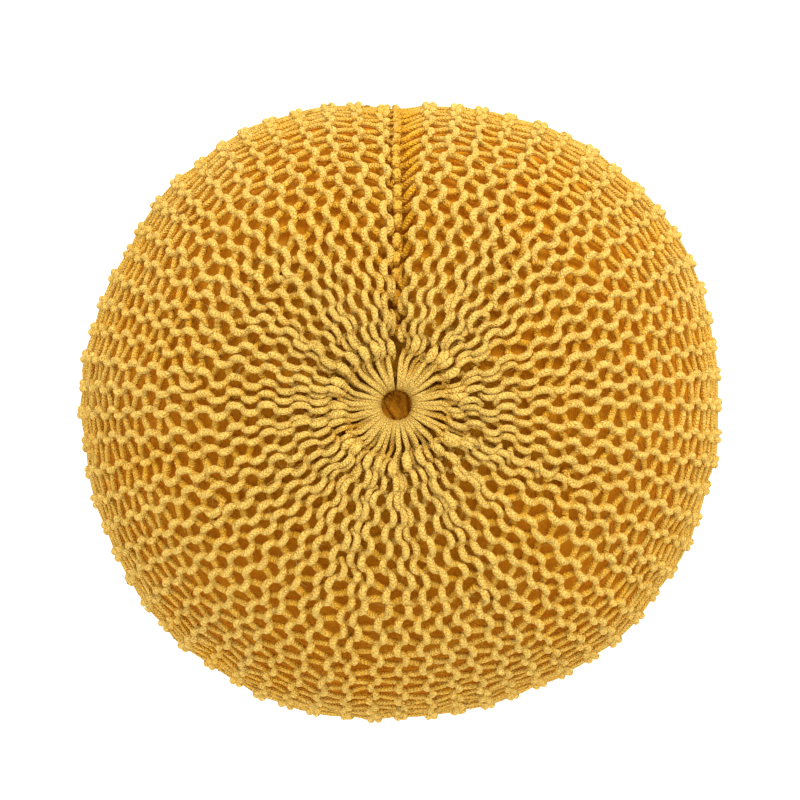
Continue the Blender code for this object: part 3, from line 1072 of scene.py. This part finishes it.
def casing_piece(material):
    """The closed mesh of the filled casing, with its map."""
    rows = casing_rows()
    count, columns = rows.shape[:2]
    around = range(columns)
    faces = [face[:1] + face[:0:-1] for face in strip_faces(count, columns)[:-2]]  # wound the other way
    middle, last = count * columns, (count - 1) * columns
    sides = [(i, (i + 1) % columns) for i in around]
    faces += [(middle, a, b) for a, b in sides] + [(middle + 1, last + b, last + a) for a, b in sides]
    mesh = mesh_of("casing", np.vstack([rows.reshape(-1, 3), rows[[0, -1]].mean(axis=1)]), faces)
    places = np.array([
        [(i + a) / columns, (k + 0.5 + b) / count]
        for k in range(count - 1) for i in around for a, b in QUAD_CORNERS
    ])
    caps = [
        [((i + 0.5) / columns, pole), ((i + a) / columns, edge), ((i + 1 - a) / columns, edge)]
        for pole, edge, a in ((0, 0.5 / count, 0), (1, 1 - 0.5 / count, 1)) for i in around
    ]
    keep_map(mesh, "OFBake", np.vstack([places, np.array(caps).reshape(-1, 2)]))
    keep_depth(mesh, CASING_DEPTH)
    return finished("casing", mesh, material)


RING_STEP = 4  # degrees
RING_DEPTH = 2.6  # for the painted shade


def gather_ring(node):
    """A gathering cord's middle line, as its solid lies, with half thickness and depth."""
    low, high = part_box(node)
    turn = np.radians(np.arange(0, 360 + RING_STEP, RING_STEP))
    radius = (high.x - low.x - CORD) / 2
    ring = np.column_stack([radius * np.sin(turn), radius * np.cos(turn), 0 * turn])
    ring = (ring + np.array((low + high) / 2)) / CORD
    return np.column_stack([ring, np.full(len(turn), FRONT), np.full(len(turn), RING_DEPTH)])


# ---- The pieces ----

SHADE_KEPT_NEAR_HOLES, SHADE_EASES_WITHIN = 0.60, (8, 17)  # near the holes only this share of the depth counts for the painted shade, so gathered stitches get less of it; cords from the holes' axis between which it grows to the whole depth
CUT_BEFORE_TURN = 8  # points before the end of a turn, where a piece of the cover ends

cord, turns_end = whole_cord()
# painted shade: gathered stitches near the holes count as less deep, so they are painted paler; this depth
# also decides where fibres grow
cord[:, 4] *= SHADE_KEPT_NEAR_HOLES + (1 - SHADE_KEPT_NEAR_HOLES) * smooth(off_axis(cord), *SHADE_EASES_WITHIN)
strand = sewing_cord()
loops = settled([cord[:, :4], strand[:, :4]])
cover_rings, strand_rings = pressed_rings(loops)


def shown(piece, node):
    """Shows a piece in the place of its solid."""
    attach(piece, "root")
    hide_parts(node)


run = travelled(loops[0])
cuts = [0]
for k in range(1, PIECES):
    wanted = k * len(run) / PIECES
    cuts.append(min(turns_end, key=lambda end: abs(end - wanted)) - CUT_BEFORE_TURN)
cuts.append(len(run) - 1)
for k, (start, end) in enumerate(zip(cuts, cuts[1:])):
    span = slice(start, end + 1)
    name = f"knitted_cover_{k + 1}"
    piece = tube_piece(name, cover_rings[span], cord[span, 4], run[span] - run[start], cover_cord)
    shown(piece, "knitted_cover")

shown(fibres_piece(np.column_stack([loops[0], cord[:, 4]]), cover_cord), "knitted_cover")
strand_piece = tube_piece("seam_stitches", strand_rings, strand[:, 4], travelled(loops[1]), sewing_yarn)
shown(strand_piece, "seam_cord")
for node in ("gather_cord_top", "gather_cord_bottom"):
    ring = gather_ring(node)
    rings = pressed_rings([ring[:, :4]])[0]
    piece = tube_piece(node + "_looks", rings, ring[:, 4], travelled(ring), sewing_yarn)
    shown(piece, node)
casing = casing_piece(casing_cloth)
shown(casing, "inner_casing")

# ---- Camera, light and floor ----

CAMERA_HEIGHT = 2.2
FRAME_PIXELS = 800
PIXEL = 0.000778  # metres a pixel at the widest line
OUTLINE_PIXEL = (400.5, 412.0)  # the middle of the outline in the photograph
FLOOR_HALF = 4
POUF_MIDDLE, LAMP_AT = Vector((0, 0, 0.15)), Vector((0.7, 1.7, 2.2))

camera_data = bpy.data.cameras.new("camera")
camera_data.sensor_width = 36
camera_data.lens = 36 * (CAMERA_HEIGHT - WIDEST_AT) / (FRAME_PIXELS * PIXEL)
camera = linked("camera", camera_data)
camera.location = (
    (FRAME_PIXELS / 2 - OUTLINE_PIXEL[0]) * PIXEL,
    (OUTLINE_PIXEL[1] - FRAME_PIXELS / 2) * PIXEL,
    CAMERA_HEIGHT,
)
bpy.context.scene.camera = camera

corners = ((-1, -1, 0), (1, -1, 0), (1, 1, 0), (-1, 1, 0))
floor_mesh = mesh_of("floor", FLOOR_HALF * np.array(corners), [(0, 1, 2, 3)])
floor_mesh.materials.append(white_table)
floor = linked("floor", floor_mesh)

lamp = bpy.data.lights.new("key", "AREA")
lamp.size, lamp.energy = 1.4, 46
key = linked("key", lamp)
key.location = LAMP_AT
key.rotation_euler = (POUF_MIDDLE - LAMP_AT).to_track_quat("-Z", "Y").to_euler()

world_light = bpy.data.worlds.new("studio")
world_light.use_nodes = True
background = world_light.node_tree.nodes["Background"]
fed(world_light.node_tree, background, {"Color": (1, 1, 1, 1), "Strength": 1.30})
bpy.context.scene.world = world_light
bpy.context.scene.view_settings.view_transform = "Standard"
